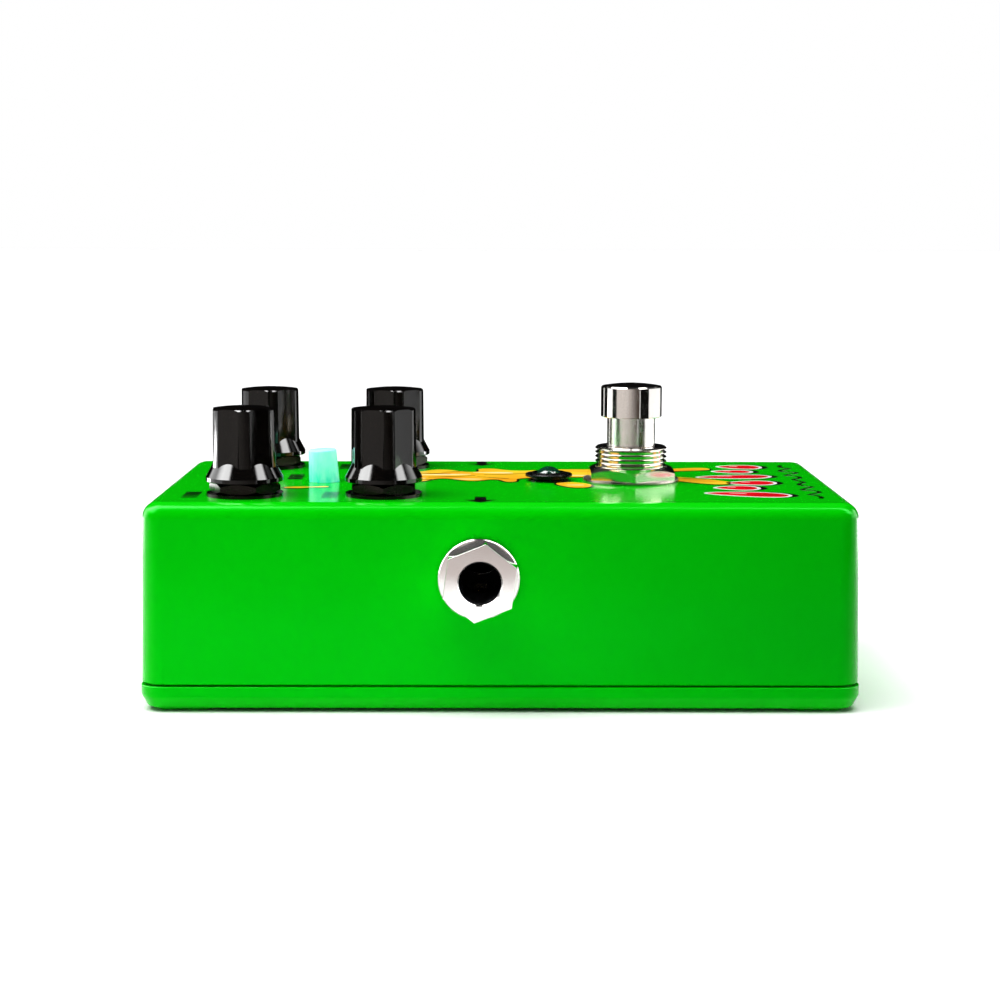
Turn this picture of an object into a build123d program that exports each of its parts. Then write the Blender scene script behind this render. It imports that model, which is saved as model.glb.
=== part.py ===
from build123d import *

import math
import os

# Guitar effects pedal: a cast metal stompbox with four knobs, a lit push button, a lamp and a footswitch.
# Millimetres. +X points to the player's right (the input side), +Y away from the player (the knob end),
# +Z up. The origin is the centre of the plane that the pedal stands on.

# ---------------------------------------------------------------- driving dimensions
LENGTH = 112.5          # along Y, at the seam between housing and cover
WIDTH = 62.0            # along X, at the seam
PANEL_Z = 32.8          # top face of the housing, which carries the controls
SEAM_Z = 4.45           # lower edge of the housing
WALL = 2.2
DRAFT_DEG = 1.15        # casting draft of the outer walls
INNER_DRAFT_DEG = 1.5
CORNER_R = 3.6
TOP_EDGE_R = 2.4

POT_X = 19.6            # the four potentiometers stand at +-POT_X
POT_REAR_Y = 40.7
POT_FRONT_Y = 18.6
BUTTON_X = -1.1         # push button, among the potentiometers
BUTTON_Y = 29.55
LAMP_Y = -8.2
FOOTSWITCH_Y = -22.0
JACK_Y = 3.2            # both jacks face each other at this Y
JACK_Z = 21.2
POWER_Z = 12.9          # power socket, in the rear wall

SCREW_X = 25.3
SCREW_Y = 50.3
SCREW_R = 1.25
SCREW_END_Z = 12.8
SCREW_HEAD_R = 2.95
SCREW_HEAD_Z = 0.25     # the head stands this far above the ground
BOSS_R = 3.75
BOSS_BORE_R = 1.3
BOSS_BORE_DEPTH = 12.0

# Holes in the housing
POT_HOLE_R = 3.6
BUTTON_HOLE_R = 2.85
LAMP_HOLE_R = 2.95
FS_HOLE_R = 6.1
JACK_HOLE_R = 4.6
POWER_HOLE_R = 4.15

BOARD_Z = 22.0          # underside of the circuit board
BOARD_T = 1.6

# Where each potentiometer stands, and how far its knob is turned from straight ahead at rest.
POTS = {
    "rear_left": (-POT_X, POT_REAR_Y, 6.0),
    "front_left": (-POT_X, POT_FRONT_Y, 12.5),
    "rear_right": (POT_X, POT_REAR_Y, 11.0),
    "front_right": (POT_X, POT_FRONT_Y, 10.0),
}
CORNERS = [(sx * SCREW_X, sy * SCREW_Y) for sx in (-1, 1) for sy in (-1, 1)]

ROOF_Z = PANEL_Z - WALL                 # underside of the panel
BOARD_TOP = BOARD_Z + BOARD_T
BASE = (Align.CENTER, Align.CENTER, Align.MIN)


# ---------------------------------------------------------------- helpers
def block(x, y, z):
    """A box from its (low, high) pairs along X, Y and Z."""
    low = (x[0], y[0], z[0])
    size = (x[1] - x[0], y[1] - y[0], z[1] - z[0])
    return Pos(*low) * Box(*size, align=(Align.MIN, Align.MIN, Align.MIN))


def rod(radius, low, high, at=(0.0, 0.0)):
    """An upright cylinder from z = low to z = high."""
    return Pos(at[0], at[1], low) * Cylinder(radius, high - low, align=BASE)


def turned(points, at=(0.0, 0.0)):
    """A solid of revolution about the vertical through `at`, from (radius, z) points."""
    face = make_face(Plane.XZ * Polyline(*points, close=True))
    return Pos(at[0], at[1], 0) * revolve(face, Axis.Z)


def hex_nut(across_flats, bore_r, low, high, turn=0.0, inset=0.1, slope=0.58, both_ends=True):
    """A hexagonal nut about the Z axis, bevelled at its corners from `inset` inside the flats."""
    height = high - low
    flat_r = across_flats / 2
    corner_r = flat_r / math.cos(math.pi / 6)
    drop = slope * (corner_r - flat_r + inset)
    foot = [(flat_r - inset, 0), (corner_r, drop)] if both_ends else [(corner_r, 0)]
    trim = turned([(0, 0), *foot, (corner_r, height - drop), (flat_r - inset, height), (0, height)])
    prism = extrude(RegularPolygon(flat_r, 6, major_radius=False, rotation=turn), height)
    return Pos(0, 0, low) * ((prism & trim) - Cylinder(bore_r, height, align=BASE))


def dome(radius, edge_z, rise):
    """The half profile of a shallow spherical cap, from its edge to the axis."""
    sphere_r = (radius ** 2 + rise ** 2) / (2 * rise)
    mid_z = edge_z + rise - sphere_r + math.sqrt(sphere_r ** 2 - radius ** 2 / 4)
    return ThreePointArc((radius, edge_z), (radius / 2, mid_z), (0, edge_z + rise))


def domed(points, rise):
    """A solid of revolution that ends in a spherical cap; `points` run from the axis to the cap's edge."""
    radius, edge_z = points[-1]
    outline = Polyline(*points) + dome(radius, edge_z, rise) + Line((0, edge_z + rise), points[0])
    return revolve(make_face(Plane.XZ * outline), Axis.Z)


def coil_spring(radius, wire_r, low, high, turns):
    """A compression spring about the Z axis between two flat seats."""
    rise = high - low - 2 * wire_r
    path = Pos(0, 0, low + wire_r) * Helix(rise / turns, rise, radius)
    section = Plane(origin=path @ 0, z_dir=path % 0) * Circle(wire_r)
    return sweep(section, path=path, is_frenet=True)


def wire(points, bend, wire_r=0.55):
    """An insulated lead: straight runs joined by arcs of the radius `bend`."""
    path = FilletPolyline(*points, radius=bend)
    section = Plane(origin=path @ 0, z_dir=path % 0) * Circle(wire_r)
    return sweep(section, path=path)


def group(solids):
    return Compound(children=list(solids))


def on_side(shape, side):
    """Lays a jack piece, built along +Z from the middle of the box, along +X or -X at its place."""
    laid = Pos(0, JACK_Y, JACK_Z) * Rot(0, 90, 0) * shape
    return laid if side > 0 else mirror(laid, Plane.YZ)


# ---------------------------------------------------------------- enclosure
def housing():
    height = PANEL_Z - SEAM_Z
    outer = Pos(0, 0, SEAM_Z) * extrude(
        RectangleRounded(WIDTH, LENGTH, CORNER_R), height, taper=DRAFT_DEG)
    outer = fillet(outer.faces().sort_by(Axis.Z)[-1].edges(), TOP_EDGE_R)
    outer = chamfer(outer.faces().sort_by(Axis.Z)[0].edges(), 0.15)
    inner = Pos(0, 0, SEAM_Z) * extrude(
        RectangleRounded(WIDTH - 2 * WALL, LENGTH - 2 * WALL, CORNER_R - WALL + 0.6),
        ROOF_Z - SEAM_Z, taper=INNER_DRAFT_DEG)
    shell = outer - inner
    for at in CORNERS:
        shell += rod(BOSS_R, SEAM_Z, ROOF_Z + 0.5, at)
    for at in CORNERS:
        shell -= rod(BOSS_BORE_R, SEAM_Z, SEAM_Z + BOSS_BORE_DEPTH, at)
    for x, y, _ in POTS.values():
        shell -= rod(POT_HOLE_R, ROOF_Z - 1, PANEL_Z + 1, (x, y))
    shell -= rod(BUTTON_HOLE_R, ROOF_Z - 1, PANEL_Z + 1, (BUTTON_X, BUTTON_Y))
    shell -= rod(LAMP_HOLE_R, ROOF_Z - 1, PANEL_Z + 1, (0, LAMP_Y))
    shell -= rod(FS_HOLE_R, ROOF_Z - 1, PANEL_Z + 1, (0, FOOTSWITCH_Y))
    shell -= Pos(0, JACK_Y, JACK_Z) * Rot(0, 90, 0) * Cylinder(JACK_HOLE_R, WIDTH + 10)
    shell -= Pos(0, LENGTH / 2, POWER_Z) * Rot(90, 0, 0) * Cylinder(POWER_HOLE_R, 12)
    return shell


COVER_FLOOR = 2.2       # inner face of the cover's floor
COVER_BOTTOM = 0.5      # outer face between the corner pads
COVER_RIM = SEAM_Z - 0.34
COVER_PROUD = 0.15      # how far the cover stands out past the housing
COVER_KNEE = 2.5        # below this height the cover's sides lean in
COVER_LEAN_DEG = 27.0
LIP_GAP = 0.3           # between the cover's lip and the housing's wall
LIP_T = 1.2
LIP_RISE = 1.0          # the lip's height above the seam
COVER_HOLE_R = 1.7      # clears a screw
RECESS_R = 3.15         # round a screw's head
COVER_BOSS_R = 4.2
PAD_X, PAD_Y = 8.2, 9.6 # the corner pads that the pedal stands on
LAND_INSET = 1.2        # the housing rests on a land this far in, which leaves a dark line at the seam


def base_cover():
    outline = Pos(0, 0, COVER_KNEE) * RectangleRounded(
        WIDTH + 2 * COVER_PROUD, LENGTH + 2 * COVER_PROUD, CORNER_R)
    shell = extrude(outline, COVER_RIM - COVER_KNEE)
    shell += extrude(outline, COVER_KNEE - COVER_BOTTOM, dir=(0, 0, -1), taper=COVER_LEAN_DEG)
    shell = fillet(shell.faces().sort_by(Axis.Z)[0].edges(), 0.9)
    shell = fillet([e for e in shell.edges() if abs(e.center().Z - COVER_KNEE) < 0.01], 1.0)
    shell = fillet(shell.faces().sort_by(Axis.Z)[-1].edges(), 0.2)
    land = extrude(
        RectangleRounded(WIDTH - 2 * LAND_INSET, LENGTH - 2 * LAND_INSET, CORNER_R - LAND_INSET),
        SEAM_Z - COVER_RIM)
    shell += Pos(0, 0, COVER_RIM) * land
    # A low lip stands inside the housing and keeps the cover in place.
    lip_x, lip_y = (size - 2 * (WALL + LIP_GAP) for size in (WIDTH, LENGTH))
    shell -= Pos(0, 0, COVER_FLOOR) * extrude(RectangleRounded(lip_x, lip_y, 1.8), 6)
    ring = RectangleRounded(lip_x, lip_y, 1.6) - RectangleRounded(lip_x - 2 * LIP_T, lip_y - 2 * LIP_T, 0.6)
    lip = Pos(0, 0, COVER_FLOOR) * extrude(ring, SEAM_Z + LIP_RISE - COVER_FLOOR)
    for at in CORNERS:
        lip -= rod(BOSS_R + 1.25, COVER_FLOOR, SEAM_Z + 2, at)
    shell += lip
    for x, y in CORNERS:
        shell += rod(COVER_BOSS_R, COVER_BOTTOM, SEAM_Z, (x, y))
        pad = extrude(RectangleRounded(PAD_X, PAD_Y, 2.4), COVER_BOTTOM + 0.4)
        pad = Pos(x * 0.985, y * 0.985, 0) * pad
        shell += chamfer(pad.faces().sort_by(Axis.Z)[0].edges(), 0.2)
    for at in CORNERS:
        shell -= rod(COVER_HOLE_R, -1, SEAM_Z + 1, at)
        shell -= turned([(0, -0.1), (RECESS_R, -0.1), (RECESS_R, 0.25), (1.6, 1.8), (0, 1.8)], at)
    return shell


def cover_screw(at):
    """A countersunk machine screw with a cross recess, driven up into a corner boss."""
    head_z, head_r, end_z = SCREW_HEAD_Z, SCREW_HEAD_R, SCREW_END_Z
    body = turned([
        (0, head_z), (head_r, head_z), (head_r, head_z + 0.15), (SCREW_R + 0.25, head_z + 1.6),
        (SCREW_R + 0.25, 1.9), (SCREW_R, 2.2), (SCREW_R, end_z - 0.6), (0.8, end_z), (0, end_z),
    ])
    for turn in (0, 90):
        body -= Rot(0, 0, turn) * block((-1.6, 1.6), (-0.32, 0.32), (head_z - 1, head_z + 1.1))
    return Pos(at[0], at[1], 0) * body


# ---------------------------------------------------------------- potentiometers and knobs
KNOB_LOW = PANEL_Z + 2.3
KNOB_TOP = PANEL_Z + 13.9
KNOB_SKIRT_R = 6.15
KNOB_RIM = 0.72         # height of the skirt's upright rim
KNOB_RIDGE_R = 5.28     # at the foot of the ridges
KNOB_RIDGE_TOP_R = 5.18
KNOB_FLUTE_R = 4.9      # at the middle of a flute
SKIRT_SLOPE = 0.53      # radius lost per millimetre of height
KNOB_BORE_R = 3.02      # slides on the shaft
KNOB_BORE_TOP = PANEL_Z + 12.4
KNOB_RELIEF_R = 4.3     # the wider mouth that clears the bearing
KNOB_RELIEF_TOP = PANEL_Z + 5.0
POINTER_HALF = 0.35
FLUTES = 6
FLUTE_HALF_DEG = 20.0
KNOB_DOME = 0.35


def knob(turn):
    """Six shallow hollows down a slightly tapered drum, run out on a flared skirt."""
    core_r = KNOB_FLUTE_R - 0.4
    rim_z = KNOB_LOW + KNOB_RIM
    ridge_z = rim_z + (KNOB_SKIRT_R - KNOB_RIDGE_R) / SKIRT_SLOPE
    core_z = rim_z + (KNOB_SKIRT_R - core_r) / SKIRT_SLOPE
    edge = 0.22
    drum = domed([(0, KNOB_LOW), (KNOB_RIDGE_R, KNOB_LOW), (KNOB_RIDGE_R, ridge_z),
                  (KNOB_RIDGE_TOP_R, KNOB_TOP - edge), (KNOB_RIDGE_TOP_R - edge, KNOB_TOP)], KNOB_DOME)
    half_chord = KNOB_RIDGE_R * math.sin(math.radians(FLUTE_HALF_DEG))
    hollow = KNOB_RIDGE_R * math.cos(math.radians(FLUTE_HALF_DEG)) - KNOB_FLUTE_R
    cut_r = (half_chord ** 2 + hollow ** 2) / (2 * hollow)
    lean = math.degrees(math.atan((KNOB_RIDGE_R - KNOB_RIDGE_TOP_R) / (KNOB_TOP - ridge_z)))
    for i in range(FLUTES):
        cutter = Pos(KNOB_FLUTE_R + cut_r, 0, ridge_z) * Rot(0, -lean, 0) * Cylinder(cut_r, 40)
        drum -= Rot(0, 0, 90 + i * 360 / FLUTES) * cutter
    drum = fillet(flute_edges(drum), 0.4)
    skirt = turned([(0, KNOB_LOW), (KNOB_SKIRT_R - 0.12, KNOB_LOW), (KNOB_SKIRT_R, KNOB_LOW + 0.12),
                    (KNOB_SKIRT_R, rim_z), (core_r, core_z), (0, core_z)])
    body = drum + skirt
    body -= rod(KNOB_RELIEF_R, KNOB_LOW - 1, KNOB_RELIEF_TOP)
    body -= rod(KNOB_BORE_R, KNOB_LOW - 1, KNOB_BORE_TOP)
    # The pointer's groove runs from the middle of the top down the flute that faces ahead.
    across = (-POINTER_HALF, POINTER_HALF)
    body -= block(across, (0.9, 9.0), (KNOB_TOP - 0.12, KNOB_TOP + 1))
    body -= block(across, (KNOB_FLUTE_R - 0.25, 9.0), (ridge_z + 1.2, KNOB_TOP + 1))
    return Rot(0, 0, turn) * body


def flute_edges(drum):
    """The long edges where a flute meets a ridge, at a flute's half width from each flute's middle."""
    pitch = 360 / FLUTES
    found = []
    for edge in drum.edges():
        middle = edge.center()
        from_flute = (math.degrees(math.atan2(middle.Y, middle.X)) - 90) % pitch
        beside = min(from_flute, pitch - from_flute)
        if edge.length > 5 and abs(beside - FLUTE_HALF_DEG) < 1.5 and math.hypot(middle.X, middle.Y) > 5:
            found.append(edge)
    return found


SHAFT_R = 3.0
SHAFT_LOW = 25.7
ROTOR_R = 3.75
ROTOR_Z = (26.3, 27.8)
ROTOR_ROOM_R = 4.1
ROTOR_ROOM_Z = (25.3, 28.3)


def pot_shaft(turn):
    """A split shaft with the contact rotor staked on its foot."""
    shaft = rod(SHAFT_R, SHAFT_LOW, KNOB_BORE_TOP - 0.1) + rod(ROTOR_R, *ROTOR_Z)
    shaft -= block((-0.4, 0.4), (-4, 4), (PANEL_Z + 6.5, PANEL_Z + 13))
    return Rot(0, 0, turn) * shaft


POT_HALF_X = 4.9
POT_HALF_Y = 5.3
POT_THREAD_R = 3.5
POT_PINS = (-2.5, 0.0, 2.5)
POT_WASHER_R = 6.1
POT_NUT_LOW = PANEL_Z + 0.5
POT_NUT_HIGH = POT_NUT_LOW + 1.7
POT_NUT_FLATS = 10.0
POT_NUT_TURNS = {"rear_left": 24.0, "front_left": 2.0, "rear_right": 12.0, "front_right": 27.0}


def pot_body():
    body = block((-POT_HALF_X, POT_HALF_X), (-POT_HALF_Y, POT_HALF_Y), (BOARD_TOP, ROOF_Z))
    body = chamfer(body.edges().filter_by(Axis.Z), 0.8)
    body += rod(POT_THREAD_R, ROOF_Z, KNOB_RELIEF_TOP - 0.6)
    body -= rod(ROTOR_ROOM_R, *ROTOR_ROOM_Z)
    return body - rod(SHAFT_R + 0.06, ROTOR_ROOM_Z[1] - 0.3, KNOB_RELIEF_TOP)


def pot_nut(name):
    return hex_nut(POT_NUT_FLATS, POT_THREAD_R + 0.02, POT_NUT_LOW, POT_NUT_HIGH, POT_NUT_TURNS[name])


def pot_washer():
    return rod(POT_WASHER_R, PANEL_Z, POT_NUT_LOW) - rod(POT_THREAD_R + 0.15, PANEL_Z, PANEL_Z + 1)


def pot_terminals():
    """Three bent legs that leave the front of the body and go down through the board."""
    legs = []
    for x in POT_PINS:
        leg = block((x - 0.4, x + 0.4), (-POT_HALF_Y - 1.3, -POT_HALF_Y), (24.6, 24.9))
        leg += block((x - 0.4, x + 0.4), (-POT_HALF_Y - 1.3, -POT_HALF_Y - 1.0), (20.9, 24.9))
        legs.append(leg)
    return legs


# ---------------------------------------------------------------- lit push button
BUTTON_CASE = 3.8       # half width of the switch body
BUTTON_CAP_R = 2.55
BUTTON_CAP_TOP = PANEL_Z + 5.35
BUTTON_LEAN = 3.0       # the loose cap stands a little off upright
BUTTON_PIN_XS = (-2.5, 0.0, 2.5)
BUTTON_PIN_YS = (-2.4, 2.4)


def button_cap():
    """A tapered cap that leans with its play, on the upright slider."""
    foot = PANEL_Z - 1.5
    cap = domed([(0, foot), (BUTTON_CAP_R, foot), (BUTTON_CAP_R, PANEL_Z),
                 (2.34, BUTTON_CAP_TOP - 0.2), (2.16, BUTTON_CAP_TOP)], 0.1)
    cap = Pos(0, 0, PANEL_Z) * Rot(-BUTTON_LEAN, 0, 0) * Pos(0, 0, -PANEL_Z) * cap
    cap -= rod(1.72, PANEL_Z - 2, PANEL_Z + 3.9)
    return Pos(BUTTON_X, BUTTON_Y, 0) * cap


def button_slider():
    slider = rod(1.7, 28.2, PANEL_Z + 1.0) + block((-3.0, 3.0), (-3.0, 3.0), (28.2, 29.6))
    return Pos(BUTTON_X, BUTTON_Y, 0) * (slider - rod(1.35, 28, PANEL_Z + 2))


def button_case():
    half = BUTTON_CASE
    case = block((-half, half), (-half, half), (BOARD_TOP, 30.4))
    case = chamfer(case.edges().filter_by(Axis.Z), 0.4)
    case -= block((-3.1, 3.1), (-3.1, 3.1), (24.3, 29.7))
    return Pos(BUTTON_X, BUTTON_Y, 0) * (case - rod(2.75, 29, 31))


def button_lamp():
    lens = turned([(0, 24.3), (1.3, 24.3), (1.3, 24.9), (1.05, 24.9), (1.05, PANEL_Z - 0.4),
                   (0.8, PANEL_Z + 0.3), (0.4, PANEL_Z + 0.6), (0, PANEL_Z + 0.65)])
    return Pos(BUTTON_X, BUTTON_Y, 0) * lens


def button_terminals():
    return [Pos(BUTTON_X + x, BUTTON_Y + y, 0) * block((-0.3, 0.3), (-0.2, 0.2), (BOARD_Z - 1.0, BOARD_TOP))
            for x in BUTTON_PIN_XS for y in BUTTON_PIN_YS]


# ---------------------------------------------------------------- indicator lamp
LAMP_R = 2.5
LAMP_LEG_XS = (-1.27, 1.27)


def led_bezel():
    """A snap-in ring: barbed legs below, a waist, and a thin flange round the lens."""
    ring = turned([
        (2.56, PANEL_Z - 5.0), (2.85, PANEL_Z - 5.0), (3.1, PANEL_Z - 3.0), (3.1, PANEL_Z - 2.45),
        (2.9, PANEL_Z - 2.25), (2.9, PANEL_Z), (3.4, PANEL_Z), (3.4, PANEL_Z + 0.25),
        (3.1, PANEL_Z + 0.4), (3.1, PANEL_Z + 0.8), (3.95, PANEL_Z + 0.8), (3.95, PANEL_Z + 1.12),
        (3.8, PANEL_Z + 1.25), (3.0, PANEL_Z + 1.32), (2.75, PANEL_Z + 1.5), (2.56, PANEL_Z + 1.5),
    ], (0, LAMP_Y))
    slot = Box(9, 0.7, 2.6)
    for turn in (0, 90):
        ring -= Pos(0, LAMP_Y, PANEL_Z - 4.0) * Rot(0, 0, turn) * slot
    return ring


def led_lamp():
    dome_z = PANEL_Z - 0.1
    lamp = rod(LAMP_R, dome_z - 6.0, dome_z) + rod(2.85, dome_z - 7.0, dome_z - 6.0)
    lamp += Pos(0, 0, dome_z) * Sphere(LAMP_R)
    return Pos(0, LAMP_Y, 0) * lamp


def led_leads():
    low = 20.8
    return [block((x - 0.25, x + 0.25), (LAMP_Y - 0.25, LAMP_Y + 0.25), (low, PANEL_Z - 7.1))
            for x in LAMP_LEG_XS]


# ---------------------------------------------------------------- footswitch
FS_PLATE_Z = 26.2       # top of the plate that closes the switch body
FS_BODY_X = 8.4
FS_BODY_Y = 8.2
FS_CASE_LOW = 11.0
FS_TRAVEL = 3.0
FS_THREAD_PITCH = 0.75
FS_THREADS = 4          # turns that show above the nut
FS_CREST_R = 6.0
FS_ROOT_R = 5.5
FS_BORE_R = 4.1
FS_NUT_TOP = PANEL_Z + 2.5
FS_CAP_LOW = PANEL_Z + 10.85
FS_CAP_HIGH = PANEL_Z + 16.0
FS_CAP_R = 5.1
FS_NECK_R = 4.03
FS_WASHER_R = 8.0
FS_WASHER_T = 0.5
FS_NUT_FLATS = 14.0
FS_CAVITY_X = 7.2
FS_CAVITY_Y = 7.0


def footswitch_bushing():
    """Threaded barrel on the plate that closes the top of the switch."""
    top = PANEL_Z + 5.95
    low = FS_PLATE_Z - 1.2
    start = FS_NUT_TOP - 0.2
    profile = [(FS_BORE_R, low), (FS_CREST_R, low), (FS_CREST_R, start - 0.3), (FS_ROOT_R, start)]
    for i in range(FS_THREADS):
        z = start + i * FS_THREAD_PITCH
        profile += [(FS_CREST_R, z + 0.33), (FS_CREST_R, z + 0.41), (FS_ROOT_R, z + FS_THREAD_PITCH)]
    profile += [(FS_CREST_R, top - 0.35), (FS_CREST_R, top - 0.28), (FS_CREST_R - 0.3, top), (4.6, top),
                (FS_BORE_R, top - 0.5)]
    plate = block((-FS_BODY_X, FS_BODY_X), (-FS_BODY_Y, FS_BODY_Y), (low, FS_PLATE_Z))
    plate = chamfer(plate.edges().filter_by(Axis.Z), 1.0)
    return Pos(0, FOOTSWITCH_Y, 0) * (turned(profile) + plate - rod(FS_BORE_R, 20, 30))


def footswitch_plunger():
    """Chromed button: a domed cap on a neck, with the stop collar and the driving stem below."""
    low, high = FS_CAP_LOW, FS_CAP_HIGH
    plunger = domed([(0, 18.4), (2.1, 18.4), (2.1, 23.4), (5.1, 23.4), (5.1, 24.9), (FS_NECK_R, 24.9),
                     (FS_NECK_R, low), (FS_CAP_R - 0.12, low), (FS_CAP_R, low + 0.12),
                     (FS_CAP_R, high - 0.2), (FS_CAP_R - 0.2, high + 0.05)], 0.45)
    return Pos(0, FOOTSWITCH_Y, 0) * plunger


def footswitch_washer():
    bore_r, top = FS_CREST_R + 0.15, PANEL_Z + FS_WASHER_T
    return turned([(bore_r, PANEL_Z), (FS_WASHER_R, PANEL_Z), (FS_WASHER_R + 0.05, PANEL_Z + 0.25),
                   (FS_WASHER_R, top), (bore_r, top)], (0, FOOTSWITCH_Y))


LOCK_WASHER_T = 0.45


def footswitch_lock_washer():
    """A ring with teeth round its outside, under the panel and above the lower nut."""
    low, high = ROOF_Z - LOCK_WASHER_T, ROOF_Z
    ring = rod(6.75, low, high) - rod(6.1, low, high)
    teeth = 16
    for i in range(teeth):
        ring += Rot(0, 0, i * 360 / teeth) * block((6.5, 7.35), (-0.55, 0.55), (low, high))
    return Pos(0, FOOTSWITCH_Y, 0) * ring


def footswitch_nuts():
    """The outer nut has a deep bevel on top and stands flat on its washer; a plain one is inside."""
    bore_r, foot = FS_CREST_R + 0.02, PANEL_Z + FS_WASHER_T
    upper = hex_nut(FS_NUT_FLATS, bore_r, foot, FS_NUT_TOP, 2, inset=0.4, both_ends=False)
    seat = ROOF_Z - LOCK_WASHER_T
    lower = hex_nut(FS_NUT_FLATS, bore_r, seat - 2.1, seat, 14)
    return [Pos(0, FOOTSWITCH_Y, 0) * nut for nut in (upper, lower)]


def footswitch_case():
    case = block((-FS_BODY_X, FS_BODY_X), (-FS_BODY_Y, FS_BODY_Y), (FS_CASE_LOW, FS_PLATE_Z - 1.2))
    case = fillet(case.edges().filter_by(Axis.Z), 0.8)
    x, y = (-FS_CAVITY_X, FS_CAVITY_X), (-FS_CAVITY_Y, FS_CAVITY_Y)
    case -= block(x, y, (FS_CASE_LOW - 1, 16.2))
    case -= block(x, y, (17.2, 30))
    return Pos(0, FOOTSWITCH_Y, 0) * (case - rod(3.0, 16, 18))


def footswitch_spring():
    return Pos(0, FOOTSWITCH_Y, 0) * coil_spring(4.0, 0.35, 17.2, 23.4, 4)


TERMINAL_XS = (-4.5, 0.0, 4.5)
TERMINAL_YS = (-5.2, 0.0, 5.2)
ROCKER_PIVOT_Z = 12.9
ROCKER_TILT = 7.0       # how far the rocker leans to either side


def tilted(shape):
    """Leans a rocker piece to the side that it rests on."""
    about = Pos(0, FOOTSWITCH_Y, ROCKER_PIVOT_Z)
    return about * Rot(ROCKER_TILT, 0, 0) * shape


def footswitch_rocker():
    """A plastic beam over the three blades, with a short round pivot at each end."""
    beam = block((-6.4, 6.4), (-4.4, 4.4), (0.35, 1.9))
    beam += block((-6.4, 6.4), (-1.0, 1.0), (-0.3, 0.5))
    beam -= Pos(0, 0, 2.3) * Rot(0, 90, 0) * Cylinder(0.8, 20)
    for x in TERMINAL_XS:
        beam -= block((x - 1.2, x + 1.2), (-1.5, 1.5), (-1.0, 0.36))
    for x in (-6.4, 6.4):
        beam += Pos(x, 0, 0) * Rot(0, 90, 0) * Cylinder(0.45, 1.1)
    return tilted(beam)


def footswitch_blades():
    """Three rocking contacts, each a flat strip with a dimple down at both ends."""
    strips = []
    for x in TERMINAL_XS:
        strip = block((x - 1.1, x + 1.1), (-6.0, 6.0), (-0.05, 0.35))
        for y in (-5.2, 5.2):
            strip += Pos(x, y, -0.05) * Cylinder(0.7, 0.4)
        strips.append(tilted(strip))
    return strips


def footswitch_terminal_board():
    half_x, half_y = FS_BODY_X, FS_BODY_Y
    board = block((-half_x, half_x), (-half_y, half_y), (FS_CASE_LOW - 1.6, FS_CASE_LOW))
    board = fillet(board.edges().filter_by(Axis.Z), 0.8)
    for x in TERMINAL_XS:
        for y in TERMINAL_YS:
            board -= block((x - 1.05, x + 1.05), (y - 0.45, y + 0.45), (8, 12))
    return Pos(0, FOOTSWITCH_Y, 0) * board


def footswitch_terminals():
    """Nine solder lugs; the middle row stands taller and carries the blades."""
    lugs = []
    for x in TERMINAL_XS:
        for y in TERMINAL_YS:
            head = 12.75 if y == 0 else 11.9
            lug = block((x - 1.0, x + 1.0), (y - 0.4, y + 0.4), (5.4, head))
            lug -= Pos(x, y, 6.8) * Rot(90, 0, 0) * Cylinder(0.5, 3)
            lugs.append(Pos(0, FOOTSWITCH_Y, 0) * lug)
    return lugs


# ---------------------------------------------------------------- jacks
# Each is built along +Z and laid on its side by on_side.
JACK_BORE_R = 3.3
JACK_FACE = 35.5        # outer face of the nut, from the middle plane
JACK_BODY_OUT = 28.1
JACK_BODY_IN = 6.0
JACK_NUT_FLATS = 10.72
JACK_NUT_TURN = {-1: 8.2, 1: 9.0}
WASHER_R = 6.32
WASHER_BORE_R = 4.75
WASHER_IN = 30.92
WASHER_OFF = 0.2        # the loose washer hangs this far towards +Y
NUT_IN = WASHER_IN + 0.6
LUG_DROP = 9.4          # the lugs' ends, below the jack's axis
SLEEVE_LUG = 20.85      # how far out the two lugs stand
TIP_LUG = 8.5
TIP_PIVOT = (23.7, -4.6)
TIP_WIDTH = 3.4


def jack_nut(side):
    """A capped hexagonal nut whose lip covers the end of the threaded sleeve."""
    length = JACK_FACE - NUT_IN
    nut = Pos(0, 0, NUT_IN) * extrude(
        RegularPolygon(JACK_NUT_FLATS / 2, 6, major_radius=False, rotation=JACK_NUT_TURN[side]), length)
    nut = fillet(nut.faces().sort_by(Axis.Z)[-1].edges(), 0.12)
    nut -= rod(4.47, NUT_IN - 1, JACK_FACE - 1.0)
    nut -= turned([(0, JACK_FACE - 2), (JACK_BORE_R, JACK_FACE - 2), (JACK_BORE_R, JACK_FACE - 0.2),
                   (JACK_BORE_R + 0.2, JACK_FACE), (JACK_BORE_R + 0.2, JACK_FACE + 1), (0, JACK_FACE + 1)])
    return on_side(nut, side)


def jack_washer(side):
    ring = turned([(WASHER_BORE_R, WASHER_IN), (WASHER_R, WASHER_IN), (WASHER_R, NUT_IN - 0.15),
                   (WASHER_R - 0.15, NUT_IN), (WASHER_BORE_R, NUT_IN)])
    return on_side(Pos(0, WASHER_OFF, 0) * ring, side)


def jack_body(side):
    """Moulded box with the threaded sleeve. Local X is down and local Y runs along the pedal."""
    body = block((-7.3, 7.3), (-7.3, 7.3), (JACK_BODY_IN, JACK_BODY_OUT))
    body = chamfer(body.edges().filter_by(Axis.Z), 0.8)
    body += rod(4.45, JACK_BODY_OUT, JACK_FACE - 1.05)
    body -= block((-6.5, 5.8), (-5.6, 5.6), (JACK_BODY_IN + 1.2, 24.0))
    body -= rod(JACK_BORE_R, JACK_BODY_IN - 1, JACK_FACE)
    for out in (TIP_LUG, SLEEVE_LUG):
        body -= block((5, 8), (-1.1, 1.1), (out - 0.3, out + 0.3))
    return on_side(body, side)


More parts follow.
